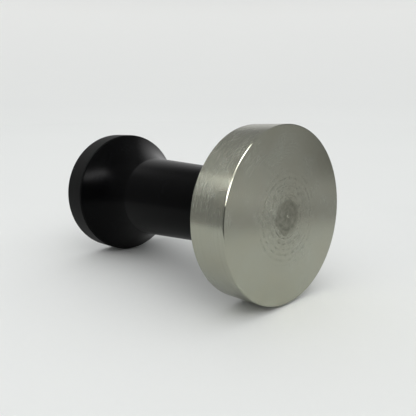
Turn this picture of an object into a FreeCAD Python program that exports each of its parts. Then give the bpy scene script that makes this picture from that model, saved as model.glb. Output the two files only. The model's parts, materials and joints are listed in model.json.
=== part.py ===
import FreeCAD, Part
import os

import Sketcher

# Espresso tamper for a 58 mm filter basket: a turned stainless base on a threaded stud, and a black
# turned handle whose wide end is closed by a matt cap.
#
# Every piece is drawn on the tamper's own axis: local z = 0 is the tamping face, and +z runs up the
# handle to the cap. LYING then lays the whole tamper on its side, with the base's back edge and the
# cap's outer edge touching the floor, the tamping face towards +X and the origin under the middle.
# Threads are plain cylinders at their pitch diameter, with a running gap between the two.

SHEET = "dims"

# alias, value in mm, what it is
DRIVING = [
    ("base_dia", 58.0, "tamping base across its rim"),
    ("base_thick", 13.9, "tamping base, face to back"),
    ("base_edge", 0.35, "radius that breaks both edges of the rim"),
    ("stud_dia", 7.1, "M8 stud at its pitch diameter"),
    ("stud_in_base", 9.2, "length of stud held in the base"),
    ("stud_in_handle", 10.0, "length of stud screwed into the handle"),
    ("stud_point", 0.6, "chamfer on both ends of the stud"),
    ("stud_key", 4.0, "hexagon socket in the stud, across flats"),
    ("stud_key_deep", 4.0, "depth of that socket"),
    ("thread_gap", 0.05, "radial gap between a thread and its mate"),
    ("mouth_chamfer", 0.6, "chamfer at the mouth of a threaded hole"),
    ("washer_dia", 24.0, "seat washer, outside"),
    ("washer_gap", 0.65, "radial gap between the stud and the washer's hole"),
    ("washer_thick", 0.5, "seat washer, thickness"),
    ("foot_dia", 26.0, "handle where it meets the washer"),
    ("foot_edge", 0.5, "radius round the foot of the handle"),
    ("neck_dia", 30.0, "handle at the start of the flare"),
    ("flare_long", 22.7, "length of the flare along the axis"),
    ("neck_long", 47.6, "length of the tapered neck"),
    ("rim_dia", 49.4, "handle at the top of the flare, and the cap"),
    ("rim_edge", 0.2, "radius round the rim of the handle"),
    ("joint_edge", 0.3, "radius round the cap where it meets the handle"),
    ("insert_wall", 2.95, "brass insert for the stud, wall round the stud"),
    ("insert_long", 13.0, "brass insert for the stud, length"),
    ("insert_groove", 0.6, "depth of the groove round an insert"),
    ("insert_groove_wide", 2.5, "width of that groove"),
    ("relief_gap", 0.75, "radial gap round the stud in the relief bore above its insert"),
    ("relief_deep", 3.0, "depth of that bore"),
    ("rim_wall", 2.6, "thinnest wall of the handle round the cap's spigot"),
    ("cavity_wall", 3.8, "wall of the handle at the cavity floor"),
    ("cavity_ledge", 1.6, "ledge that the spigot's rim rests on"),
    ("cavity_deep", 20.0, "depth of the cavity below the cap joint"),
    ("post_wall", 3.25, "wall of the post round its insert"),
    ("cap_thick", 9.9, "cap, from the joint to its end"),
    ("cap_edge", 0.8, "radius round the end of the cap"),
    ("spigot_long", 5.5, "spigot that centres the cap in the handle"),
    ("spigot_gap", 0.15, "radial gap round the spigot"),
    ("seal_thick", 1.6, "thickness of the O-ring"),
    ("seal_wide", 2.0, "width of the O-ring's groove"),
    ("seal_down", 1.6, "joint face to the O-ring's groove"),
    ("screw_dia", 4.6, "M5 cap screw at its pitch diameter"),
    ("screw_gap", 0.45, "radial gap round that screw through the cap"),
    ("screw_head_rim", 1.95, "how far the head stands out round the screw"),
    ("screw_head", 5.0, "height of that head"),
    ("screw_head_gap", 0.5, "radial gap round the head"),
    ("screw_key", 4.0, "hexagon socket in the head, across flats"),
    ("screw_key_deep", 2.5, "depth of that socket"),
    ("screw_in_handle", 9.0, "length of the cap screw held in its insert"),
    ("cap_insert_wall", 1.45, "brass insert for the cap screw, wall round the screw"),
    ("cap_insert_long", 10.0, "brass insert for the cap screw, length"),
    ("plug_dia", 30.0, "plug that covers the cap screw"),
    ("plug_thick", 1.5, "thickness of that plug"),
    ("plug_gap", 0.1, "radial gap round the plug"),
    ("plug_edge", 0.3, "radius round the face of the plug"),
]

# alias, formula: places and sizes that follow from the driving ones
DERIVED = [
    ("foot_z", "base_thick + washer_thick"),
    ("flare_z", "foot_z + neck_long"),
    ("rim_z", "flare_z + flare_long"),
    ("total_z", "rim_z + cap_thick"),
    ("stud_z", "base_thick - stud_in_base"),
    ("stud_top_z", "foot_z + stud_in_handle"),
    ("insert_top_z", "foot_z + insert_long"),
    ("washer_hole", "stud_dia + 2 * washer_gap"),
    ("insert_dia", "stud_dia + 2 * insert_wall"),
    ("relief_dia", "stud_dia + 2 * relief_gap"),
    ("screw_hole", "screw_dia + 2 * screw_gap"),
    ("screw_head_dia", "screw_dia + 2 * screw_head_rim"),
    ("cap_insert_dia", "screw_dia + 2 * cap_insert_wall"),
    ("post_dia", "cap_insert_dia + 2 * post_wall"),
    ("spigot_z", "rim_z - spigot_long"),
    ("cavity_z", "rim_z - cavity_deep"),
    ("seal_z", "rim_z - seal_down"),
    ("taper_run", "(neck_dia - foot_dia) / 2"),
    ("taper_long", "sqrt(taper_run ^ 2 + neck_long ^ 2)"),
    ("flare_run", "(rim_dia - neck_dia) / 2"),
    ("flare_turn", "(flare_run * neck_long - flare_long * taper_run) / taper_long"),
    ("flare_radius", "(flare_run ^ 2 + flare_long ^ 2) / (2 * flare_turn)"),
    ("flare_centre_r", "neck_dia / 2 + flare_radius * neck_long / taper_long"),
    ("flare_centre_z", "flare_z - flare_radius * taper_run / taper_long"),
    ("side_at_spigot", "flare_centre_r - sqrt(flare_radius ^ 2 - (spigot_z - flare_centre_z) ^ 2)"),
    ("side_at_cavity", "flare_centre_r - sqrt(flare_radius ^ 2 - (cavity_z - flare_centre_z) ^ 2)"),
    ("socket_dia", "2 * (side_at_spigot - rim_wall)"),
    ("cap_insert_z", "spigot_z - cap_insert_long"),
    ("plug_z", "total_z - plug_thick"),
    ("head_z", "plug_z - screw_head"),
    ("screw_z", "spigot_z - screw_in_handle"),
    ("edge_run", "(base_dia / 2 - base_edge) - (rim_dia / 2 - cap_edge)"),
    ("edge_rise", "(total_z - cap_edge) - (base_thick - base_edge)"),
    ("edge_span", "sqrt(edge_run ^ 2 + edge_rise ^ 2)"),
    ("lean", "atan(edge_run / edge_rise) + asin((base_edge - cap_edge) / edge_span)"),
    ("front_x", "(base_dia / 2 - base_edge) * sin(lean) - base_edge * cos(lean) + base_edge"),
    ("back_x", "(rim_dia / 2 - cap_edge) * sin(lean) + (total_z - cap_edge) * cos(lean) + cap_edge"),
    ("shift_x", "(back_x - front_x) / 2"),
    ("shift_z", "(base_dia / 2 - base_edge) * cos(lean) + (base_thick - base_edge) * sin(lean) + base_edge"),
    ("tip", "90 + lean / 1 deg"),
]

ALIASES = {row[0] for row in DRIVING + DERIVED}

LYING = (
    "create(<<placement>>; create(<<vector>>; {0}.shift_x; 0; {0}.shift_z); "
    "create(<<rotation>>; create(<<vector>>; 0; -1; 0); {0}.tip))"
).format(SHEET)

AXIS_POINT = -1
VERTICAL_AXIS = -2
START, END, CENTRE = 1, 2, 3
TOLERANCE = 1e-4

doc = FreeCAD.newDocument("espresso_tamper")
sheet = doc.addObject("Spreadsheet::Sheet", SHEET)


def fill_sheet():
    """Write the driving sizes as plain numbers and the derived ones as formulas."""
    rows = [(alias, str(value), note) for alias, value, note in DRIVING]
    rows += [(alias, "=" + formula, "") for alias, formula in DERIVED]
    for row, (alias, content, note) in enumerate(rows, start=1):
        sheet.set(f"A{row}", alias)
        sheet.set(f"B{row}", content)
        sheet.set(f"C{row}", note)
        sheet.setAlias(f"B{row}", alias)
    doc.recompute()


def bound(expression):
    """The expression with every alias written as a reference to the sheet."""
    words = []
    word = ""
    for letter in expression + " ":
        if letter.isalnum() or letter == "_":
            word += letter
            continue
        words.append(f"{SHEET}.{word}" if word in ALIASES else word)
        words.append(letter)
        word = ""
    return "".join(words).strip()


def value(expression):
    """The expression's present value in millimetres."""
    return float(sheet.evalExpression(bound(expression)))


def new_body(name):
    body = doc.addObject("PartDesign::Body", name)
    body.Label = name
    return body


def origin_plane(body, role):
    return next(item for item in body.Origin.OriginFeatures if item.Role == role)


def new_sketch(body, name, role="XZ_Plane"):
    sketch = body.newObject("Sketcher::SketchObject", name)
    sketch.AttachmentSupport = [(origin_plane(body, role), "")]
    sketch.MapMode = "FlatFace"
    return sketch


def pin_point(sketch, edge, end, name, radius, height):
    """Fix one end of an edge at (radius, height), both bound to the sheet."""
    for kind, axis, tag, expression in (
        ("DistanceX", VERTICAL_AXIS, "r", radius),
        ("DistanceY", AXIS_POINT, "z", height),
    ):
        if abs(value(expression)) < TOLERANCE:
            sketch.addConstraint(Sketcher.Constraint("PointOnObject", edge, end, axis))
            continue
        constraint = Sketcher.Constraint(kind, AXIS_POINT, START, edge, end, value(expression))
        number = sketch.addConstraint(constraint)
        sketch.renameConstraint(number, f"{tag}_{name}")
        sketch.setExpression(f"Constraints.{tag}_{name}", bound(expression))


def closed_profile(body, name, corners):
    """A closed sketch of straight edges through (radius, height) corners given as formulas."""
    sketch = new_sketch(body, name)
    points = [FreeCAD.Vector(value(radius), value(height), 0) for radius, height in corners]
    for first, second in zip(points, points[1:] + points[:1]):
        sketch.addGeometry(Part.LineSegment(first, second), False)
    for edge in range(len(points)):
        following = (edge + 1) % len(points)
        sketch.addConstraint(Sketcher.Constraint("Coincident", edge, END, following, START))
    for edge, (radius, height) in enumerate(corners):
        pin_point(sketch, edge, START, f"p{edge}", radius, height)
    return sketch


def revolve(body, name, sketch, kind="Revolution"):
    """Turn a sketch round the tamper's axis, adding or cutting, and check that it did."""
    before = body.Shape.Volume if body.Tip else 0.0
    feature = body.newObject(f"PartDesign::{kind}", name)
    feature.Profile = sketch
    feature.ReferenceAxis = (sketch, ["V_Axis"])
    feature.Angle = 360
    doc.recompute()
    change = body.Shape.Volume - before
    if change * (-1 if kind == "Groove" else 1) <= 0:
        raise RuntimeError(f"{name} changed the volume of {body.Label} by {change}")
    return feature


def turned(body, name, corners):
    return revolve(body, name, closed_profile(body, name + "_sketch", corners))


def bored(body, name, corners):
    return revolve(body, name, closed_profile(body, name + "_sketch", corners), "Groove")


def ring_edges(body, radius, height):
    """Names of the circular edges of a body with this radius at this height on the axis."""
    names = []
    shape = body.Tip.Shape
    for number, edge in enumerate(shape.Edges, start=1):
        curve = edge.Curve
        if not isinstance(curve, Part.Circle):
            continue
        if abs(curve.Radius - value(radius)) > TOLERANCE:
            continue
        if abs(curve.Center.z - value(height)) < TOLERANCE:
            names.append(f"Edge{number}")
    if not names:
        raise RuntimeError(f"{body.Label} has no edge of radius {radius} at {height}")
    return names


def dress(body, name, kind, size, rings):
    """Fillet or chamfer the circular edges given as (radius, height)."""
    base = body.Tip
    edges = [edge for radius, height in rings for edge in ring_edges(body, radius, height)]
    feature = body.newObject(f"PartDesign::{kind}", name)
    feature.Base = (base, edges)
    feature.setExpression("Radius" if kind == "Fillet" else "Size", bound(size))
    base.Visibility = False
    doc.recompute()
    return feature


def hex_socket(body, name, across_flats, depth, face_z):
    """A hexagonal pocket that opens upwards at face_z."""
    sketch = new_sketch(body, name + "_sketch", "XY_Plane")
    sketch.AttachmentOffset = FreeCAD.Placement(FreeCAD.Vector(0, 0, value(face_z)), FreeCAD.Rotation())
    sketch.setExpression("AttachmentOffset.Base.z", bound(face_z))
    corner = value(across_flats) / 3**0.5
    turn = FreeCAD.Rotation(FreeCAD.Vector(0, 0, 1), 60)
    points = [FreeCAD.Vector(corner, 0, 0)]
    while len(points) < 6:
        points.append(turn.multVec(points[-1]))
    for first, second in zip(points, points[1:] + points[:1]):
        sketch.addGeometry(Part.LineSegment(first, second), False)
    circle = sketch.addGeometry(Part.Circle(FreeCAD.Vector(), FreeCAD.Vector(0, 0, 1), corner), True)
    sketch.addConstraint(Sketcher.Constraint("Coincident", circle, CENTRE, AXIS_POINT, START))
    for edge in range(6):
        following = (edge + 1) % 6
        sketch.addConstraint(Sketcher.Constraint("Coincident", edge, END, following, START))
        sketch.addConstraint(Sketcher.Constraint("PointOnObject", edge, START, circle))
        if edge:
            sketch.addConstraint(Sketcher.Constraint("Equal", 0, edge))
    sketch.addConstraint(Sketcher.Constraint("PointOnObject", 0, START, AXIS_POINT))
    number = sketch.addConstraint(Sketcher.Constraint("Radius", circle, corner))
    sketch.renameConstraint(number, "corner")
    sketch.setExpression("Constraints.corner", bound(f"{across_flats} / sqrt(3)"))
    before = body.Shape.Volume
    pocket = body.newObject("PartDesign::Pocket", name)
    pocket.Profile = sketch
    pocket.Type = "Length"
    pocket.setExpression("Length", bound(depth))
    doc.recompute()
    if body.Shape.Volume >= before:
        pocket.Reversed = True
        doc.recompute()
    if body.Shape.Volume >= before:
        raise RuntimeError(f"{name} cut nothing")
    return pocket


def make_tamping_base():
    """The flat steel disc, with a blind threaded hole in its back."""
    body = new_body("tamping_base")
    rim = "base_dia / 2"
    turned(body, "base_disc", [("0", "0"), (rim, "0"), (rim, "base_thick"), ("0", "base_thick")])
    bore = "stud_dia / 2 + thread_gap"
    bored(body, "stud_hole", [("0", "stud_z"), (bore, "stud_z"), (bore, "base_thick"), ("0", "base_thick")])
    dress(body, "stud_hole_mouth", "Chamfer", "mouth_chamfer", [(bore, "base_thick")])
    dress(body, "rim_edges", "Fillet", "base_edge", [(rim, "0"), (rim, "base_thick")])
    return body


def make_base_stud():
    """The threaded stud that is fixed in the base and screws into the handle."""
    body = new_body("base_stud")
    side = "stud_dia / 2"
    turned(body, "stud_rod", [("0", "stud_z"), (side, "stud_z"), (side, "stud_top_z"), ("0", "stud_top_z")])
    dress(body, "stud_points", "Chamfer", "stud_point", [(side, "stud_z"), (side, "stud_top_z")])
    hex_socket(body, "stud_socket", "stud_key", "stud_key_deep", "stud_top_z")
    return body


def make_seat_washer():
    """The thin washer that the handle seats on."""
    body = new_body("seat_washer")
    hole = "washer_hole / 2"
    side = "washer_dia / 2"
    turned(
        body,
        "washer_ring",
        [(hole, "base_thick"), (side, "base_thick"), (side, "foot_z"), (hole, "foot_z")],
    )
    return body


def make_thread_insert():
    """The brass thread for the stud, set in the foot of the handle."""
    body = new_body("thread_insert")
    bore = "stud_dia / 2 + thread_gap"
    side = "insert_dia / 2"
    turned(
        body,
        "insert_sleeve",
        [(bore, "foot_z"), (side, "foot_z"), (side, "insert_top_z"), (bore, "insert_top_z")],
    )
    dress(body, "insert_mouth", "Chamfer", "mouth_chamfer", [(bore, "foot_z")])
    floor = "insert_dia / 2 - insert_groove"
    low = "foot_z + (insert_long - insert_groove_wide) / 2"
    high = "foot_z + (insert_long + insert_groove_wide) / 2"
    bored(body, "insert_waist", [(floor, low), (side, low), (side, high), (floor, high)])
    return body


def handle_outline(body):
    """Outside of the handle: a straight tapered neck, then one arc tangent to it that flares to the rim."""
    sketch = new_sketch(body, "handle_outline")
    foot = FreeCAD.Vector(value("foot_dia / 2"), value("foot_z"), 0)
    waist = FreeCAD.Vector(value("neck_dia / 2"), value("flare_z"), 0)
    rim = FreeCAD.Vector(value("rim_dia / 2"), value("rim_z"), 0)
    centre = FreeCAD.Vector(value("flare_centre_r"), value("flare_centre_z"), 0)
    middle = centre + (waist + rim - centre * 2).normalize() * value("flare_radius")
    foot_side, neck, rim_side, axis, flare = range(5)
    sketch.addGeometry(Part.LineSegment(FreeCAD.Vector(0, foot.y, 0), foot), False)
    sketch.addGeometry(Part.LineSegment(foot, waist), False)
    sketch.addGeometry(Part.LineSegment(rim, FreeCAD.Vector(0, rim.y, 0)), False)
    sketch.addGeometry(Part.LineSegment(FreeCAD.Vector(0, rim.y, 0), FreeCAD.Vector(0, foot.y, 0)), False)
    sketch.addGeometry(Part.Arc(waist, middle, rim), False)
    for first, second in ((foot_side, neck), (rim_side, axis), (axis, foot_side)):
        sketch.addConstraint(Sketcher.Constraint("Coincident", first, END, second, START))
    # the arc runs anticlockwise, so it starts at the rim and ends on the neck
    sketch.addConstraint(Sketcher.Constraint("Coincident", flare, START, rim_side, START))
    sketch.addConstraint(Sketcher.Constraint("Tangent", neck, END, flare, END))
    pin_point(sketch, foot_side, START, "foot_centre", "0", "foot_z")
    pin_point(sketch, neck, START, "foot", "foot_dia / 2", "foot_z")
    pin_point(sketch, neck, END, "waist", "neck_dia / 2", "flare_z")
    pin_point(sketch, rim_side, START, "rim", "rim_dia / 2", "rim_z")
    pin_point(sketch, axis, START, "rim_centre", "0", "rim_z")
    return sketch


def make_handle_body():
    """The black handle: bored at the foot for its insert, and hollow round a post under the cap."""
    body = new_body("handle_body")
    revolve(body, "handle_solid", handle_outline(body))
    pocket = "insert_dia / 2"
    bored(
        body,
        "insert_pocket",
        [("0", "foot_z"), (pocket, "foot_z"), (pocket, "insert_top_z"), ("0", "insert_top_z")],
    )
    relief = "relief_dia / 2"
    relief_top = "insert_top_z + relief_deep"
    bored(
        body,
        "stud_relief",
        [("0", "insert_top_z"), (relief, "insert_top_z"), (relief, relief_top), ("0", relief_top)],
    )
    socket = "socket_dia / 2"
    bored(body, "cap_socket", [("0", "spigot_z"), (socket, "spigot_z"), (socket, "rim_z"), ("0", "rim_z")])
    post = "post_dia / 2"
    floor = "side_at_cavity - cavity_wall"
    ledge = "socket_dia / 2 - cavity_ledge"
    bored(
        body,
        "cavity",
        [(post, "cavity_z"), (floor, "cavity_z"), (ledge, "spigot_z"), (post, "spigot_z")],
    )
    bore = "cap_insert_dia / 2"
    bored(
        body,
        "cap_insert_pocket",
        [("0", "cap_insert_z"), (bore, "cap_insert_z"), (bore, "spigot_z"), ("0", "spigot_z")],
    )
    dress(body, "foot_round", "Fillet", "foot_edge", [("foot_dia / 2", "foot_z")])
    dress(body, "rim_round", "Fillet", "rim_edge", [("rim_dia / 2", "rim_z")])
    return body


def make_end_cap():
    """The matt cap: a thick disc with a spigot, an O-ring groove and a sunk hole for its screw."""
    body = new_body("end_cap")
    spigot = "socket_dia / 2 - spigot_gap"
    rim = "rim_dia / 2"
    turned(
        body,
        "cap_blank",
        [
            ("0", "spigot_z"),
            (spigot, "spigot_z"),
            (spigot, "rim_z"),
            (rim, "rim_z"),
            (rim, "total_z"),
            ("0", "total_z"),
        ],
    )
    plug = "plug_dia / 2 + plug_gap"
    head = "screw_head_dia / 2 + screw_head_gap"
    hole = "screw_hole / 2"
    bored(
        body,
        "screw_way",
        [
            ("0", "spigot_z"),
            (hole, "spigot_z"),
            (hole, "head_z"),
            (head, "head_z"),
            (head, "plug_z"),
            (plug, "plug_z"),
            (plug, "total_z"),
            ("0", "total_z"),
        ],
    )
    floor = "socket_dia / 2 - seal_thick"
    low = "seal_z - seal_wide"
    bored(body, "seal_groove", [(floor, low), (spigot, low), (spigot, "seal_z"), (floor, "seal_z")])
    dress(body, "joint_round", "Fillet", "joint_edge", [(rim, "rim_z")])
    dress(body, "end_round", "Fillet", "cap_edge", [(rim, "total_z")])
    return body


def make_cap_seal():
    """The O-ring that grips and seals the cap's spigot."""
    body = new_body("cap_seal")
    sketch = new_sketch(body, "seal_section")
    middle = "(socket_dia - seal_thick) / 2"
    height = "seal_z - seal_wide / 2"
    centre = FreeCAD.Vector(value(middle), value(height), 0)
    circle = Part.Circle(centre, FreeCAD.Vector(0, 0, 1), value("seal_thick / 2"))
    section = sketch.addGeometry(circle, False)
    number = sketch.addConstraint(Sketcher.Constraint("Radius", section, circle.Radius))
    sketch.renameConstraint(number, "section")
    sketch.setExpression("Constraints.section", bound("seal_thick / 2"))
    pin_point(sketch, section, CENTRE, "centre", middle, height)
    revolve(body, "seal_ring", sketch)
    return body


def make_cap_insert():
    """The brass thread for the cap screw, set in the handle's post."""
    body = new_body("cap_insert")
    bore = "screw_dia / 2 + thread_gap"
    side = "cap_insert_dia / 2"
    turned(
        body,
        "sleeve",
        [(bore, "cap_insert_z"), (side, "cap_insert_z"), (side, "spigot_z"), (bore, "spigot_z")],
    )
    return body


def make_cap_screw():
    """The socket-head screw that holds the cap down on the post."""
    body = new_body("cap_screw")
    shank = "screw_dia / 2"
    head = "screw_head_dia / 2"
    turned(
        body,
        "screw_blank",
        [
            ("0", "screw_z"),
            (shank, "screw_z"),
            (shank, "head_z"),
            (head, "head_z"),
            (head, "plug_z"),
            ("0", "plug_z"),
        ],
    )
    hex_socket(body, "head_socket", "screw_key", "screw_key_deep", "plug_z")
    return body


def make_cap_plug():
    """The plain round plug that covers the cap screw."""
    body = new_body("cap_plug")
    side = "plug_dia / 2"
    turned(body, "plug_disc", [("0", "plug_z"), (side, "plug_z"), (side, "total_z"), ("0", "total_z")])
    dress(body, "plug_round", "Fillet", "plug_edge", [(side, "total_z")])
    return body


MAKERS = (
    make_tamping_base,
    make_base_stud,
    make_seat_washer,
    make_thread_insert,
    make_handle_body,
    make_end_cap,
    make_cap_seal,
    make_cap_insert,
    make_cap_screw,
    make_cap_plug,
)


def check_document(bodies):
    """Stop if any object failed to recompute or any piece isn't one valid closed solid."""
    for item in doc.Objects:
        if "Invalid" in item.State or "Error" in item.State:
            raise RuntimeError(f"{item.Label} did not recompute: {item.State}")
    for body in bodies:
        shape = body.Shape
        if shape.isNull() or not shape.isValid() or len(shape.Solids) != 1:
            raise RuntimeError(f"{body.Label} is not one valid solid")


def main():
    fill_sheet()
    bodies = [make() for make in MAKERS]
    for body in bodies:
        body.setExpression("Placement", LYING)
    doc.recompute()
    check_document(bodies)
    os.makedirs("parts", exist_ok=True)
    for body in bodies:
        body.Shape.exportStep(f"parts/{body.Label}.step")
        box = body.Shape.BoundBox
        print(f"{body.Label:14s} {body.Shape.Volume:10.1f} mm3  z {box.ZMin:7.2f} to {box.ZMax:7.2f}")


main()
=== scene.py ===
import json
import math

import bmesh
import bpy
from mathutils import Matrix, Vector


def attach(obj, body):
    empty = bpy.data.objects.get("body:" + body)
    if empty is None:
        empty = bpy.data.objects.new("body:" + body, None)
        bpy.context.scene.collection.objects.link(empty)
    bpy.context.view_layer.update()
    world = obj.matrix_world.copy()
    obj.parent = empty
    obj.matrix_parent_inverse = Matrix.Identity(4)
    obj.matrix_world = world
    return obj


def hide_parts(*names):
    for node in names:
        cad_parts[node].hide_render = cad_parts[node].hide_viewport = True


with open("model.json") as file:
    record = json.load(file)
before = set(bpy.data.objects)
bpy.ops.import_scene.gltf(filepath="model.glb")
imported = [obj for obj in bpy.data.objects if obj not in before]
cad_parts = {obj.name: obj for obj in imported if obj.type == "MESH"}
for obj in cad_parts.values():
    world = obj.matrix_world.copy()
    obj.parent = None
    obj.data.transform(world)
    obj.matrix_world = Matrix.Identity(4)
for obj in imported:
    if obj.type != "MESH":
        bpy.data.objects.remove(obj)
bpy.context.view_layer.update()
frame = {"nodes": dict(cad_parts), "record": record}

# Espresso tamper lying on a pale floor. Everything turned on a lathe is a profile of (radius, height)
# points in metres, spun round the tamper's axis: height 0 is the tamping face, and it grows towards
# the cap. AXIS_FRAME carries that upright tamper to where the frame's tamper lies.

MM = 0.001
SEGMENTS = 192
SHARP_DEGREES = 35
SUPPORT = 0.07 * MM
ARC_STEPS = 6
FACE_RINGS = 12
NECK_RINGS = 24
FLARE_RINGS = 40

PITCH = 1.25 * MM
ROWS_PER_PITCH = 16
THREAD_DEPTH = 0.30 * MM
THREAD_GAP = 0.04 * MM
FLANK_SLOPE = 2.6
ROOT_FLAT = 0.15

PIP_RADIUS = 0.35 * MM
PIP_DEEP = 0.12 * MM
DULL_DISC = 5.2 * MM
STUD_SOCKET_DEEP = 4.0 * MM
STUD_SOCKET_TIP = 0.5 * MM
WASHER_EDGE = 0.12 * MM
FOOT_RADIUS = 13.0 * MM
FOOT_EDGE = 0.5 * MM
NECK_RADIUS = 15.0 * MM
NECK_LONG = 47.6 * MM
RIM_EDGE = 0.2 * MM
JOINT_EDGE = 0.3 * MM
CAP_EDGE = 0.8 * MM
RECESS_EDGE = 0.2 * MM
PLUG_EDGE = 0.3 * MM
CAVITY_LEDGE = 1.6 * MM

LENS = 43.64
CAMERA_AZIMUTH = 45.9
CAMERA_ELEVATION = 13.28
CAMERA_ALONG = 95.48 * MM
CAMERA_SIDE = 125.58 * MM
CAMERA_UP = 34.24 * MM


# ---------------------------------------------------------------- places read from the frame

def mount(name):
    return next(m for m in frame["record"]["mounts"] if m["name"] == name)


FACE_CENTRE = Vector(mount("tamping_face")["pos_m"])
UP_THE_HANDLE = -Vector(mount("tamping_face")["axis"])
SIDEWAYS = Vector((0, 1, 0))
AXIS_FRAME = Matrix.Translation(FACE_CENTRE) @ Matrix(
    (SIDEWAYS.cross(UP_THE_HANDLE), SIDEWAYS, UP_THE_HANDLE)
).transposed().to_4x4()
TO_AXIS = AXIS_FRAME.inverted()


def turned_points(node):
    """A CAD node's vertices as (radius, height) about the tamper's axis."""
    upright = [TO_AXIS @ vertex.co for vertex in frame["nodes"][node].data.vertices]
    return [(math.hypot(point.x, point.y), point.z) for point in upright]


def span(node):
    """Lowest and highest height of a CAD node along the axis."""
    heights = [height for _, height in turned_points(node)]
    return min(heights), max(heights)


def widest(node, low=-1.0, high=1.0):
    """Largest radius of a CAD node between two heights."""
    return max(radius for radius, height in turned_points(node) if low <= height <= high)


def narrowest(node, low=-1.0, high=1.0):
    """Smallest radius of a CAD node between two heights."""
    return min(radius for radius, height in turned_points(node) if low <= height <= high)


# ---------------------------------------------------------------- lathe

def corner_arc(centre_radius, centre_height, size, start, end, steps=ARC_STEPS):
    """Points of a rounded corner, from one angle to the other in degrees."""
    points = []
    for step in range(steps + 1):
        angle = math.radians(start + (end - start) * step / steps)
        points.append((centre_radius + size * math.cos(angle), centre_height + size * math.sin(angle)))
    return points


def supported(profile, least=0.6 * MM):
    """The profile with a point just inside each end of a long straight run, so that it shades flat."""
    points = []
    for (r0, z0), (r1, z1) in zip(profile, profile[1:]):
        points.append((r0, z0))
        length = math.hypot(r1 - r0, z1 - z0)
        if length > least:
            share = SUPPORT / length
            points.append((r0 + (r1 - r0) * share, z0 + (z1 - z0) * share))
            points.append((r1 - (r1 - r0) * share, z1 - (z1 - z0) * share))
    points.append(profile[-1])
    return points


def helix_height(angle, height):
    """How far up its flank a thread stands there, from 0 at the root to 1 at the crest."""
    phase = (height / PITCH - angle / math.tau) % 1.0
    return min(1.0, max(0.0, FLANK_SLOPE * (0.5 - abs(phase - 0.5)) - ROOT_FLAT))


def lathe(name, profile, thread=None):
    """Spin a closed or axis-to-axis profile. thread(radius, height, angle) may move a radius."""
    mesh = bpy.data.meshes.new(name)
    shell = bmesh.new()
    rows = []
    for radius, height in profile:
        if radius < 1e-9:
            rows.append([shell.verts.new((0, 0, height))])
            continue
        row = []
        for step in range(SEGMENTS):
            angle = math.tau * step / SEGMENTS
            r = thread(radius, height, angle) if thread else radius
            row.append(shell.verts.new((r * math.cos(angle), r * math.sin(angle), height)))
        rows.append(row)
    closed = profile[0][0] > 1e-9
    pairs = list(zip(rows, rows[1:] + rows[:1])) if closed else list(zip(rows, rows[1:]))
    for low, high in pairs:
        for step in range(SEGMENTS):
            after = (step + 1) % SEGMENTS
            if len(low) == 1:
                corners = (low[0], high[after], high[step])
            elif len(high) == 1:
                corners = (low[step], low[after], high[0])
            else:
                corners = (low[step], low[after], high[after], high[step])
            shell.faces.new(corners)
    bmesh.ops.recalc_face_normals(shell, faces=shell.faces)
    for face in shell.faces:
        face.smooth = True
    for edge in shell.edges:
        edge.smooth = len(edge.link_faces) == 2 and edge.calc_face_angle() < math.radians(SHARP_DEGREES)
    shell.to_mesh(mesh)
    shell.free()
    piece = bpy.data.objects.new(name, mesh)
    bpy.context.collection.objects.link(piece)
    piece.matrix_world = AXIS_FRAME
    return piece


def settle(piece, node, body, material):
    """Give a piece its material and its body, and let it stand for a CAD node."""
    piece.data.materials.append(material)
    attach(piece, body)
    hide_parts(node)
    return piece


# ---------------------------------------------------------------- node helpers

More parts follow.
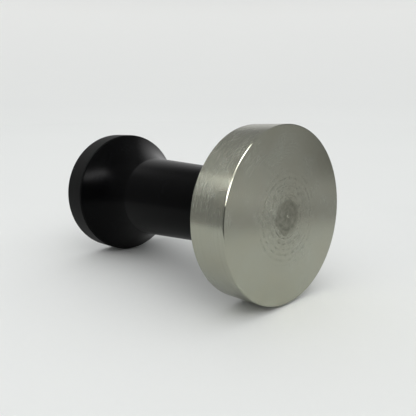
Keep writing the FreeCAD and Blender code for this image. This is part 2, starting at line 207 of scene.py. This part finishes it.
class Nodes:
    """A material's node tree with short ways to add and join nodes."""

    def __init__(self, name):
        self.material = bpy.data.materials.new(name)
        self.material.use_nodes = True
        self.tree = self.material.node_tree
        self.tree.nodes.clear()
        self.shader = self.add("ShaderNodeBsdfPrincipled")
        output = self.add("ShaderNodeOutputMaterial")
        self.link(self.shader.outputs["BSDF"], output.inputs["Surface"])

    def add(self, kind, **settings):
        node = self.tree.nodes.new(kind)
        for key, value in settings.items():
            setattr(node, key, value)
        return node

    def link(self, source, target):
        self.tree.links.new(source, target)

    def feed(self, target, value):
        if isinstance(value, bpy.types.NodeSocket):
            self.link(value, target)
        else:
            target.default_value = value

    def math(self, operation, a, b=0.0):
        node = self.add("ShaderNodeMath", operation=operation)
        for socket, value in zip(node.inputs, (a, b)):
            self.feed(socket, value)
        return node.outputs[0]

    def plus(self, a, b):
        return self.math("ADD", a, b)

    def minus(self, a, b):
        return self.math("SUBTRACT", a, b)

    def times(self, a, b):
        return self.math("MULTIPLY", a, b)

    def noise(self, vector, scale, detail=4.0, roughness=0.5, dimensions="3D", w=None):
        node = self.add("ShaderNodeTexNoise", noise_dimensions=dimensions)
        if vector is not None:
            self.link(vector, node.inputs["Vector"])
        if w is not None:
            self.feed(node.inputs["W"], w)
        node.inputs["Scale"].default_value = scale
        node.inputs["Detail"].default_value = detail
        node.inputs["Roughness"].default_value = roughness
        return node.outputs["Fac"]

    def remap(self, value, from_low, from_high, to_low, to_high):
        node = self.add("ShaderNodeMapRange")
        for key, number in (
            ("Value", value),
            ("From Min", from_low),
            ("From Max", from_high),
            ("To Min", to_low),
            ("To Max", to_high),
        ):
            self.feed(node.inputs[key], number)
        return node.outputs["Result"]

    def mix(self, factor, a, b):
        node = self.add("ShaderNodeMix", data_type="RGBA")
        self.feed(node.inputs["Factor"], factor)
        self.feed(node.inputs["A"], a)
        self.feed(node.inputs["B"], b)
        return node.outputs["Result"]

    def bump(self, height, strength, distance, normal=None):
        node = self.add("ShaderNodeBump")
        node.inputs["Strength"].default_value = strength
        node.inputs["Distance"].default_value = distance
        self.link(height, node.inputs["Height"])
        if normal is not None:
            self.link(normal, node.inputs["Normal"])
        return node.outputs["Normal"]

    def window(self, value, low, high, soft):
        """1 between low and high, fading smoothly to 0 over soft on each side."""
        rise = self.add("ShaderNodeMapRange", interpolation_type="SMOOTHSTEP")
        fall = self.add("ShaderNodeMapRange", interpolation_type="SMOOTHSTEP")
        for node, start, end in ((rise, low - soft, low), (fall, high + soft, high)):
            self.feed(node.inputs["Value"], value)
            node.inputs["From Min"].default_value = start
            node.inputs["From Max"].default_value = end
        return self.times(rise.outputs["Result"], fall.outputs["Result"])

    def object_place(self):
        return self.add("ShaderNodeTexCoord").outputs["Object"]

    def set(self, **values):
        for key, value in values.items():
            self.feed(self.shader.inputs[key.replace("_", " ")], value)


def axis_radius(nodes, place):
    """Distance from the tamper's axis, and height along it, in metres."""
    parts = nodes.add("ShaderNodeSeparateXYZ")
    nodes.link(place, parts.inputs[0])
    x, y, z = parts.outputs
    return nodes.math("SQRT", nodes.plus(nodes.times(x, x), nodes.times(y, y))), z


# ---------------------------------------------------------------- materials

def turned_steel():
    """Stainless steel faced on a lathe: fine rings, satin, a dull disc and worn rings in the middle."""
    nodes = Nodes("turned_steel")
    place = nodes.object_place()
    radius, height = axis_radius(nodes, place)
    on_face = nodes.math("LESS_THAN", height, 0.3 * MM)
    travel = nodes.plus(radius, height)
    fine = nodes.noise(None, 9000.0, 3.0, 0.6, "1D", travel)
    broad = nodes.noise(None, 1100.0, 3.0, 0.6, "1D", travel)
    cloud = nodes.noise(place, 70.0, 5.0, 0.6)
    blotch = nodes.noise(place, 560.0, 4.0, 0.6)

    # how dull each place is: the disc, the worn rings round it, faint streaks elsewhere, none on the pip
    outline = nodes.remap(nodes.noise(place, 240.0, 3.0), 0.3, 0.7, -0.5 * MM, 0.5 * MM)
    disc = nodes.times(nodes.window(nodes.plus(radius, outline), -1.0, DULL_DISC, 0.8 * MM), on_face)
    worn = nodes.times(nodes.remap(radius, 7 * MM, 18 * MM, 1.0, 0.0), on_face)
    marks = nodes.times(nodes.remap(blotch, 0.40, 0.62, 0.0, 1.0), nodes.remap(broad, 0.40, 0.60, 0.0, 1.0))
    streaks = nodes.times(nodes.remap(broad, 0.3, 0.7, 0.0, 0.08), nodes.minus(1.4, on_face))
    pip = nodes.times(nodes.window(radius, -1.0, PIP_RADIUS, 0.2 * MM), on_face)
    dull = nodes.plus(
        nodes.times(disc, nodes.remap(blotch, 0.35, 0.65, 0.50, 0.78)),
        nodes.times(nodes.times(worn, marks), 0.70),
    )
    dull = nodes.plus(dull, nodes.times(streaks, nodes.minus(1.0, disc)))
    dull = nodes.times(dull, nodes.minus(1.0, pip))

    clean = nodes.mix(
        nodes.remap(cloud, 0.35, 0.7, 0.0, 1.0), (0.350, 0.350, 0.284, 1), (0.372, 0.383, 0.322, 1)
    )
    color = nodes.mix(dull, clean, (0.175, 0.175, 0.140, 1))
    rough = nodes.plus(nodes.remap(fine, 0.3, 0.7, 0.215, 0.255), nodes.times(dull, 0.10))
    rough = nodes.plus(rough, nodes.remap(cloud, 0.3, 0.7, -0.02, 0.04))
    front_edge = nodes.window(height, 0.04 * MM, 0.3 * MM, 0.02 * MM)
    rough = nodes.times(rough, nodes.remap(front_edge, 0.0, 1.0, 1.0, 0.5))
    normal = nodes.bump(fine, 0.025, 0.02 * MM)
    normal = nodes.bump(broad, 0.03, 0.03 * MM, normal)
    tangent = nodes.add("ShaderNodeTangent", direction_type="RADIAL", axis="Z")
    nodes.set(Base_Color=color, Metallic=1.0, Roughness=rough, Normal=normal)
    nodes.set(Anisotropic=0.7, Anisotropic_Rotation=0.25, Tangent=tangent.outputs["Tangent"])
    return nodes.material


def machined_metal(name, color, roughness):
    """Plain machined metal for the parts inside, with faint turning marks and dulled patches."""
    nodes = Nodes(name)
    place = nodes.object_place()
    fine = nodes.noise(place, 4000.0, 3.0)
    cloud = nodes.noise(place, 300.0, 4.0)
    darker = tuple(channel * 0.72 for channel in color[:3]) + (1,)
    nodes.set(
        Base_Color=nodes.mix(nodes.remap(cloud, 0.35, 0.7, 0.0, 1.0), color, darker),
        Metallic=1.0,
        Roughness=nodes.remap(fine, 0.3, 0.7, roughness - 0.06, roughness + 0.08),
        Normal=nodes.bump(fine, 0.15, 0.01 * MM),
    )
    return nodes.material


def black_plastic(name, color, roughness, grain, grain_scale):
    """Turned black plastic: even satin, with a faint haze of handling and a very fine grain."""
    nodes = Nodes(name)
    place = nodes.object_place()
    haze = nodes.noise(place, 70.0, 5.0, 0.6)
    speck = nodes.noise(place, grain_scale, 2.0, 0.5)
    lighter = tuple(channel * 1.5 for channel in color[:3]) + (1,)
    rough = nodes.plus(
        nodes.remap(haze, 0.3, 0.7, roughness - 0.03, roughness + 0.04),
        nodes.remap(speck, 0.3, 0.7, -0.02, 0.02),
    )
    nodes.set(
        Base_Color=nodes.mix(nodes.remap(haze, 0.4, 0.75, 0.0, 1.0), color, lighter),
        Roughness=rough,
        IOR=1.14,
        Normal=nodes.bump(speck, grain, 0.02 * MM),
    )
    return nodes.material


def plain_plastic(name, color, roughness):
    """Moulded nylon or rubber for the parts inside: slightly cloudy, with a fine grain."""
    nodes = Nodes(name)
    place = nodes.object_place()
    cloud = nodes.noise(place, 400.0, 4.0)
    darker = tuple(channel * 0.85 for channel in color[:3]) + (1,)
    nodes.set(
        Base_Color=nodes.mix(cloud, color, darker),
        Roughness=nodes.remap(cloud, 0.3, 0.7, roughness - 0.05, roughness + 0.05),
        Normal=nodes.bump(nodes.noise(place, 5000.0, 2.0), 0.1, 0.01 * MM),
    )
    return nodes.material


STEEL = turned_steel()
STUD_STEEL = machined_metal("stud_steel", (0.55, 0.55, 0.54, 1), 0.34)
DARK_STEEL = machined_metal("screw_steel", (0.10, 0.10, 0.105, 1), 0.42)
BRASS = machined_metal("insert_brass", (0.78, 0.60, 0.30, 1), 0.30)
HANDLE_BLACK = black_plastic("handle_black", (0.0005, 0.0006, 0.0007, 1), 0.24, 0.06, 7000.0)
CAP_BLACK = black_plastic("cap_black", (0.0045, 0.0047, 0.0046, 1), 0.5, 0.25, 4500.0)
NYLON = plain_plastic("washer_plastic", (0.72, 0.70, 0.64, 1), 0.45)
SEAL_RUBBER = plain_plastic("seal_rubber", (0.015, 0.015, 0.015, 1), 0.6)


# ---------------------------------------------------------------- the pieces

def thread_rows(low, high):
    """Heights for a stretch of thread, close enough together to draw its flanks."""
    count = max(2, round((high - low) / PITCH * ROWS_PER_PITCH))
    return [low + (high - low) * step / count for step in range(count + 1)]


def inner_thread(bore, low, high):
    """Cut a thread into the wall of a bore, as far inside the bore's radius as outside it."""

    def radius_at(radius, height, angle):
        if abs(radius - bore) > 0.01 * MM or not low < height < high:
            return radius
        return radius + THREAD_DEPTH * (helix_height(angle, height) - 0.5) * 2

    return radius_at


def make_base():
    """Steel base: both rim edges rounded, a tiny turning pip in the face, a threaded blind hole behind."""
    low, high = span("tamping_base")
    rim = widest("tamping_base")
    edge = (high - low - mount("base_rim")["dims"]["length_mm"] * MM) / 2
    hole_floor, _ = span("base_stud")
    bore = narrowest("tamping_base", hole_floor - MM, hole_floor + MM)
    mouth = narrowest("tamping_base", high - 0.1 * MM, high)
    face = [(0, low + PIP_DEEP), (PIP_RADIUS, low)]
    face += [(rim * share / FACE_RINGS, low) for share in range(1, FACE_RINGS)]
    profile = face + corner_arc(rim - edge, low + edge, edge, -90, 0)
    profile += corner_arc(rim - edge, high - edge, edge, 0, 90)
    profile += [(mouth, high)]
    profile += [(bore, height) for height in reversed(thread_rows(hole_floor, high - (mouth - bore)))]
    profile += [(0, hole_floor)]
    thread = inner_thread(bore, hole_floor + 0.5 * MM, high - (mouth - bore) - 0.3 * MM)
    disc = lathe("turned_base", supported(profile), thread)
    return settle(disc, "tamping_base", "base", STEEL)


def make_stud():
    """Threaded stud with pointed ends, and the hexagon socket that it is driven by."""
    low, high = span("base_stud")
    pitch_radius = widest("base_stud")
    point = pitch_radius - widest("base_stud", low - MM, low + 0.05 * MM)
    socket = widest("base_stud", high - 0.05 * MM, high) - 0.55 * MM

    def radius_at(radius, height, angle):
        if radius < pitch_radius - point:
            return radius
        limit = pitch_radius - point + min(height - low, high - height)
        crest = radius + THREAD_DEPTH * (helix_height(angle, height) - 0.5) * 2 - THREAD_GAP
        return max(pitch_radius - point, min(crest, limit))

    profile = [(0, low), (pitch_radius - point, low)]
    profile += [(pitch_radius, height) for height in thread_rows(low + 0.02 * MM, high - 0.02 * MM)]
    profile += [(pitch_radius - point, high), (socket, high), (socket, high - STUD_SOCKET_DEEP)]
    profile += [(0, high - STUD_SOCKET_DEEP - STUD_SOCKET_TIP)]

    def with_socket(radius, height, angle):
        if radius == socket and height > high - STUD_SOCKET_DEEP - 0.1 * MM:
            sixth = math.tau / 6
            return socket * math.cos(sixth / 2) / math.cos((angle % sixth) - sixth / 2)
        return radius_at(radius, height, angle)

    stud = lathe("threaded_stud", profile, with_socket)
    return settle(stud, "base_stud", "base", STUD_STEEL)


def make_washer():
    """Nylon washer with its edges just broken."""
    low, high = span("seat_washer")
    hole = narrowest("seat_washer")
    rim = widest("seat_washer")
    edge = WASHER_EDGE
    profile = corner_arc(rim - edge, low + edge, edge, -90, 0, 3)
    profile += corner_arc(rim - edge, high - edge, edge, 0, 90, 3)
    profile += corner_arc(hole + edge, high - edge, edge, 90, 180, 3)
    profile += corner_arc(hole + edge, low + edge, edge, 180, 270, 3)
    profile.append(profile[0])
    ring = lathe("washer_ring", supported(profile)[:-1])
    return settle(ring, "seat_washer", "washer", NYLON)


def make_insert():
    """Brass sleeve with a real thread in its bore and a retaining groove outside."""
    low, high = span("thread_insert")
    bore = narrowest("thread_insert")
    rim = widest("thread_insert")
    mouth = narrowest("thread_insert", low, low + 0.1 * MM)
    groove_points = [
        (radius, height)
        for radius, height in turned_points("thread_insert")
        if mouth + MM < radius < rim - 0.1 * MM
    ]
    groove = min(radius for radius, _ in groove_points)
    groove_low = min(height for _, height in groove_points)
    groove_high = max(height for _, height in groove_points)
    profile = [(rim, low), (rim, groove_low), (groove, groove_low)]
    profile += [(groove, groove_high), (rim, groove_high), (rim, high)]
    profile += [(bore, height) for height in reversed(thread_rows(low + (mouth - bore), high))]
    profile += [(mouth, low), (rim, low)]
    thread = inner_thread(bore, low + (mouth - bore) + 0.2 * MM, high - 0.2 * MM)
    sleeve = lathe("brass_sleeve", supported(profile)[:-1], thread)
    return settle(sleeve, "thread_insert", "handle", BRASS)


def flare_arc(waist, rim, taper):
    """The arc that leaves the neck along its taper at waist and ends at rim; both are (radius, height)."""
    outward = Vector((taper.y, -taper.x))
    chord = Vector(rim) - Vector(waist)
    size = chord.length_squared / (2 * chord.dot(outward))
    centre = Vector(waist) + outward * size
    start = math.atan2(waist[1] - centre.y, waist[0] - centre.x)
    end = math.atan2(rim[1] - centre.y, rim[0] - centre.x)
    turns = [start + (end - start) * step / FLARE_RINGS for step in range(FLARE_RINGS + 1)]
    return [(centre.x + size * math.cos(turn), centre.y + size * math.sin(turn)) for turn in turns]


def make_handle():
    """Black handle: tapered neck, flare, rounded rim, and inside it the bores for inserts, stud and cap."""
    foot, rim_height = span("handle_body")
    insert_low, insert_high = span("thread_insert")
    pocket = widest("thread_insert")
    relief = narrowest("handle_body", insert_high - 0.1 * MM, insert_high + 0.1 * MM)
    relief_high = max(h for r, h in turned_points("handle_body") if abs(r - relief) < 0.05 * MM)
    post_low, spigot = span("cap_insert")
    post_bore = widest("cap_insert")
    socket = widest("handle_body", spigot - 0.05 * MM, spigot + 0.05 * MM)
    inside = [
        (radius, height)
        for radius, height in turned_points("handle_body")
        if height > relief_high + MM and radius < NECK_RADIUS - MM
    ]
    cavity_floor = min(height for _, height in inside)
    cavity_floor_radius = max(r for r, h in inside if h < cavity_floor + 0.1 * MM)
    post = min(r for r, h in inside if h < cavity_floor + 0.1 * MM)
    ledge = socket - CAVITY_LEDGE
    taper = Vector((NECK_RADIUS - FOOT_RADIUS, NECK_LONG)).normalized()
    waist = (NECK_RADIUS, foot + NECK_LONG)
    rim = (widest("end_cap"), rim_height)
    flare = flare_arc(waist, rim, taper)
    lip = [point for point in flare if point[1] < rim_height - RIM_EDGE * 1.2]
    slope = Vector(lip[-1]) - Vector(lip[-2])
    facing = math.degrees(math.atan2(-slope.x, slope.y))
    lip_radius = lip[-1][0] - RIM_EDGE * math.cos(math.radians(facing))
    profile = [(0, relief_high), (relief, relief_high), (relief, insert_high), (pocket, insert_high)]
    profile += [(pocket, foot)]
    profile += corner_arc(FOOT_RADIUS - FOOT_EDGE, foot + FOOT_EDGE, FOOT_EDGE, -90, -2)
    widening = NECK_RADIUS - FOOT_RADIUS
    profile += [
        (FOOT_RADIUS + widening * step / NECK_RINGS, foot + NECK_LONG * step / NECK_RINGS)
        for step in range(1, NECK_RINGS)
    ]
    profile += lip
    profile += corner_arc(lip_radius, rim_height - RIM_EDGE, RIM_EDGE, facing, 90)
    profile += [(socket, rim_height), (socket, spigot), (ledge, spigot)]
    profile += [(cavity_floor_radius, cavity_floor), (post, cavity_floor), (post, spigot)]
    profile += [(post_bore, spigot), (post_bore, post_low), (0, post_low)]
    handle = lathe("turned_handle", supported(profile, 2 * MM))
    return settle(handle, "handle_body", "handle", HANDLE_BLACK)


def make_cap():
    """Matt cap: band, rounded end, spigot with its seal groove, and the sunk hole for its screw."""
    low, high = span("end_cap")
    plug_low, _ = span("cap_plug")
    head_low = min(h for r, h in turned_points("cap_screw") if r > widest("cap_screw") - 0.1 * MM)
    rim = widest("end_cap")
    spigot = widest("end_cap", low, low + 0.1 * MM)
    band_low = span("handle_body")[1]
    points = turned_points("end_cap")
    seal_low = min(h for r, h in points if low + 0.1 * MM < h < band_low and r < spigot - MM)
    seal_high = max(h for r, h in points if low < h < band_low - 0.1 * MM and r > spigot - 0.1 * MM)
    seal_floor = narrowest("end_cap", seal_low - 0.02 * MM, seal_low + 0.02 * MM)
    hole = narrowest("end_cap")
    head = narrowest("end_cap", plug_low - 0.02 * MM, plug_low + 0.02 * MM)
    recess = narrowest("end_cap", high - 0.1 * MM, high)
    profile = [(hole, low), (spigot, low), (spigot, seal_low), (seal_floor, seal_low)]
    profile += [(seal_floor, seal_high), (spigot, seal_high), (spigot, band_low)]
    profile += corner_arc(rim - JOINT_EDGE, band_low + JOINT_EDGE, JOINT_EDGE, -90, 0)
    profile += corner_arc(rim - CAP_EDGE, high - CAP_EDGE, CAP_EDGE, 0, 90, 8)
    profile += corner_arc(recess + RECESS_EDGE, high - RECESS_EDGE, RECESS_EDGE, 90, 180, 3)
    profile += [(recess, plug_low), (head, plug_low), (head, head_low), (hole, head_low), (hole, low)]
    cap = lathe("matt_cap", supported(profile)[:-1])
    return settle(cap, "end_cap", "handle", CAP_BLACK)


def make_plug():
    """Plain plug in the end of the cap."""
    low, high = span("cap_plug")
    rim = widest("cap_plug")
    corner = corner_arc(rim - PLUG_EDGE, high - PLUG_EDGE, PLUG_EDGE, 0, 90)
    plug = lathe("round_plug", supported([(0, low), (rim, low)] + corner + [(0, high)]))
    return settle(plug, "cap_plug", "handle", CAP_BLACK)


def dress_hidden_nodes():
    """The CAD's own screw, seal and insert stay as they are, with their materials."""
    for node, material in (("cap_screw", DARK_STEEL), ("cap_seal", SEAL_RUBBER), ("cap_insert", BRASS)):
        slots = frame["nodes"][node].data.materials
        slots.clear()
        slots.append(material)


make_base()
make_stud()
make_washer()
make_insert()
make_handle()
make_cap()
make_plug()
dress_hidden_nodes()


# ---------------------------------------------------------------- floor, light, camera

SHEET_AROUND = 96
FLOOR_RADIUS = 0.9
BEND_RADIUS = 0.6
WALL_HEIGHT = 1.1
WORLD_LOW, WORLD_HIGH = 0.2, 1.11
KEY_PLACE = (1.5, -0.7, 1.5)
KEY_SIZE = 1.2
KEY_POWER = 6.5
ROOM_CENTRE = (0, 0, 0.03)
ROOM_RADIUS = 0.17
ROOM_DIM = 0.15
PAINTED_REFLECTION_PATCHES = (
    # painted reflections, one glowing patch each: azimuth limits and softness, elevation limits and
    # softness, slope, brightness added there
    ("backdrop", (95, 188), 14, (-30, 32), 12, 0.0, 0.66),
    ("left wall", (-180, -114), 8, (-10, 46), 14, 0.0, 0.28),
    ("far window", (-152, -112), 8, (25, 36), 9, 0.0, 0.06),
    ("overhead", (-360, 360), 1, (54, 90), 12, 0.0, 0.24),
    ("side wall", (15, 43), 8, (-3, 60), 5, 0.0, 0.31),
    ("low side wall", (10, 75), 15, (-80, -4), 5, 0.0, 0.29),
    # the three windows are painted highlights: near on the handle's flare, front and high on the base's
    # rounded front edge
    ("near window", (-106, -80), 4, (33, 37), 4, 0.6, 16.0),
    ("front window", (-48, -8), 3, (14, 23), 2, 0.0, 15.0),
    ("high window", (-48, -8), 3, (41, 68), 3, 0.0, 13.0),
)


def paper():
    """Pale satin sheet with painted light: paler and faintly glowing where it curves up, so the backdrop
    reads brighter towards its top.
    """
    nodes = Nodes("pale_sheet")
    place = nodes.object_place()
    parts = nodes.add("ShaderNodeSeparateXYZ")
    nodes.link(place, parts.inputs[0])
    cloud = nodes.remap(nodes.noise(place, 3.0, 3.0), 0.0, 1.0, 0.0, 0.2)
    # painted light: the colour turns paler with height
    rise = nodes.remap(parts.outputs[2], 0.0, 0.3, 0.0, 0.5)
    nodes.set(
        Base_Color=nodes.mix(nodes.plus(cloud, rise), (0.775, 0.785, 0.760, 1), (0.89, 0.89, 0.865, 1)),
        Roughness=0.7,
        Specular_IOR_Level=0.1,
        Emission_Color=(1.0, 1.0, 0.97, 1),
        # painted light: the sheet glows faintly from 3 cm up, more the higher it goes
        Emission_Strength=nodes.remap(parts.outputs[2], 0.03, 0.28, 0.0, 0.14),
    )
    return nodes.material


def ring_sheet(name, points, material):
    """Round sheet spun from (radius, height) points, facing up and inwards."""
    mesh = bpy.data.meshes.new(name)
    shell = bmesh.new()
    rows = []
    for radius, height in points:
        count = SHEET_AROUND if radius else 1
        turns = [math.tau * step / SHEET_AROUND for step in range(count)]
        rows.append([shell.verts.new((radius * math.cos(t), radius * math.sin(t), height)) for t in turns])
    for low, high in zip(rows, rows[1:]):
        for step in range(SHEET_AROUND):
            after = (step + 1) % SHEET_AROUND
            inner = (low[0],) if len(low) == 1 else (low[after], low[step])
            shell.faces.new(inner + (high[step], high[after]))
    for face in shell.faces:
        face.smooth = True
    shell.to_mesh(mesh)
    shell.free()
    mesh.materials.append(material)
    sheet = bpy.data.objects.new(name, mesh)
    bpy.context.collection.objects.link(sheet)
    return sheet


def make_sweep():
    """Round pale floor and a bend that carries it up into a wall. The wall throws no light on the floor."""
    material = paper()
    ring_sheet("floor", [(0, 0), (0.2, 0), (0.5, 0), (FLOOR_RADIUS, 0)], material)
    bend = corner_arc(FLOOR_RADIUS, BEND_RADIUS, BEND_RADIUS, -90, 0, 9)
    backdrop = ring_sheet("backdrop", bend + [(FLOOR_RADIUS + BEND_RADIUS, WALL_HEIGHT)], material)
    backdrop.visible_diffuse = False


def painted_room_reflection():
    """Painted reflection of a room, as a glow by direction: dim in front, bright behind, with a few painted
    windows.
    """
    nodes = Nodes("painted_reflection_glow")
    parts = nodes.add("ShaderNodeSeparateXYZ")
    nodes.link(nodes.object_place(), parts.inputs[0])
    x, y, z = parts.outputs
    flat = nodes.math("SQRT", nodes.plus(nodes.times(x, x), nodes.times(y, y)))
    elevation = nodes.times(nodes.math("ARCTAN2", z, flat), 180 / math.pi)
    azimuth = nodes.times(nodes.math("ARCTAN2", y, x), 180 / math.pi)
    behind = nodes.times(nodes.math("LESS_THAN", azimuth, -160.0), 360.0)
    azimuth_round = nodes.plus(azimuth, behind)
    glow = ROOM_DIM
    for _, across, across_soft, upward, upward_soft, slope, brightness in PAINTED_REFLECTION_PATCHES:
        turn = azimuth_round if across[1] > 180 else azimuth
        tilt = nodes.times(nodes.minus(turn, sum(across) / 2), slope)
        patch = nodes.times(
            nodes.window(turn, *across, across_soft),
            nodes.window(nodes.plus(elevation, tilt), *upward, upward_soft),
        )
        glow = nodes.plus(glow, nodes.times(patch, brightness))
    emission = nodes.add("ShaderNodeEmission")
    nodes.link(glow, emission.inputs["Strength"])
    output = next(node for node in nodes.tree.nodes if node.type == "OUTPUT_MATERIAL")
    nodes.link(emission.outputs[0], output.inputs["Surface"])
    nodes.tree.nodes.remove(nodes.shader)
    return nodes.material


def make_painted_reflection_dome():
    """Glowing dome that only reflections see, so that steel and black plastic show painted reflections of a
    room.
    """
    mesh = bpy.data.meshes.new("painted_reflection_dome")
    shell = bmesh.new()
    bmesh.ops.create_uvsphere(shell, u_segments=64, v_segments=32, radius=ROOM_RADIUS)
    shell.to_mesh(mesh)
    shell.free()
    mesh.materials.append(painted_room_reflection())
    dome = bpy.data.objects.new("painted_reflection_dome", mesh)
    bpy.context.collection.objects.link(dome)
    dome.location = ROOM_CENTRE
    dome.visible_camera = False
    dome.visible_diffuse = False
    dome.visible_shadow = False
    dome.visible_transmission = False
    dome.visible_volume_scatter = False


def make_key():
    """Broad soft light from above, in front and to the right."""
    light = bpy.data.lights.new("key", "AREA")
    light.size = KEY_SIZE
    light.energy = KEY_POWER
    lamp = bpy.data.objects.new("key", light)
    bpy.context.collection.objects.link(lamp)
    lamp.location = KEY_PLACE
    lamp.rotation_euler = (-Vector(KEY_PLACE)).to_track_quat("-Z", "Y").to_euler()


def make_world():
    """Soft light from above: its strength grows from WORLD_LOW at the horizon to WORLD_HIGH overhead."""
    world = bpy.data.worlds.new("room")
    bpy.context.scene.world = world
    world.use_nodes = True
    tree = world.node_tree
    background = tree.nodes["Background"]
    background.inputs["Color"].default_value = (0.97, 0.98, 1.0, 1)
    direction = tree.nodes.new("ShaderNodeTexCoord")
    parts = tree.nodes.new("ShaderNodeSeparateXYZ")
    rise = tree.nodes.new("ShaderNodeMapRange")
    rise.inputs["From Max"].default_value = 0.6
    rise.inputs["To Min"].default_value = WORLD_LOW
    rise.inputs["To Max"].default_value = WORLD_HIGH
    tree.links.new(direction.outputs["Generated"], parts.inputs[0])
    tree.links.new(parts.outputs[2], rise.inputs["Value"])
    tree.links.new(rise.outputs["Result"], background.inputs["Strength"])


def make_camera():
    """Close camera, low and in front of the tamping face."""
    camera = bpy.data.cameras.new("camera")
    camera.sensor_width = 36.0
    camera.lens = LENS
    camera.clip_start = 0.005
    body = bpy.data.objects.new("camera", camera)
    bpy.context.collection.objects.link(body)
    turn = math.radians(CAMERA_AZIMUTH)
    tilt = math.radians(CAMERA_ELEVATION)
    back = Vector((math.sin(turn) * math.cos(tilt), -math.cos(turn) * math.cos(tilt), math.sin(tilt)))
    body.location = FACE_CENTRE + CAMERA_ALONG * -UP_THE_HANDLE + CAMERA_SIDE * -SIDEWAYS
    body.location += CAMERA_UP * SIDEWAYS.cross(UP_THE_HANDLE)
    body.rotation_mode = "QUATERNION"
    body.rotation_quaternion = (-back).to_track_quat("-Z", "Y")
    bpy.context.scene.camera = body


make_sweep()
make_painted_reflection_dome()
make_world()
make_key()
make_camera()
bpy.context.scene.view_settings.view_transform = "Standard"
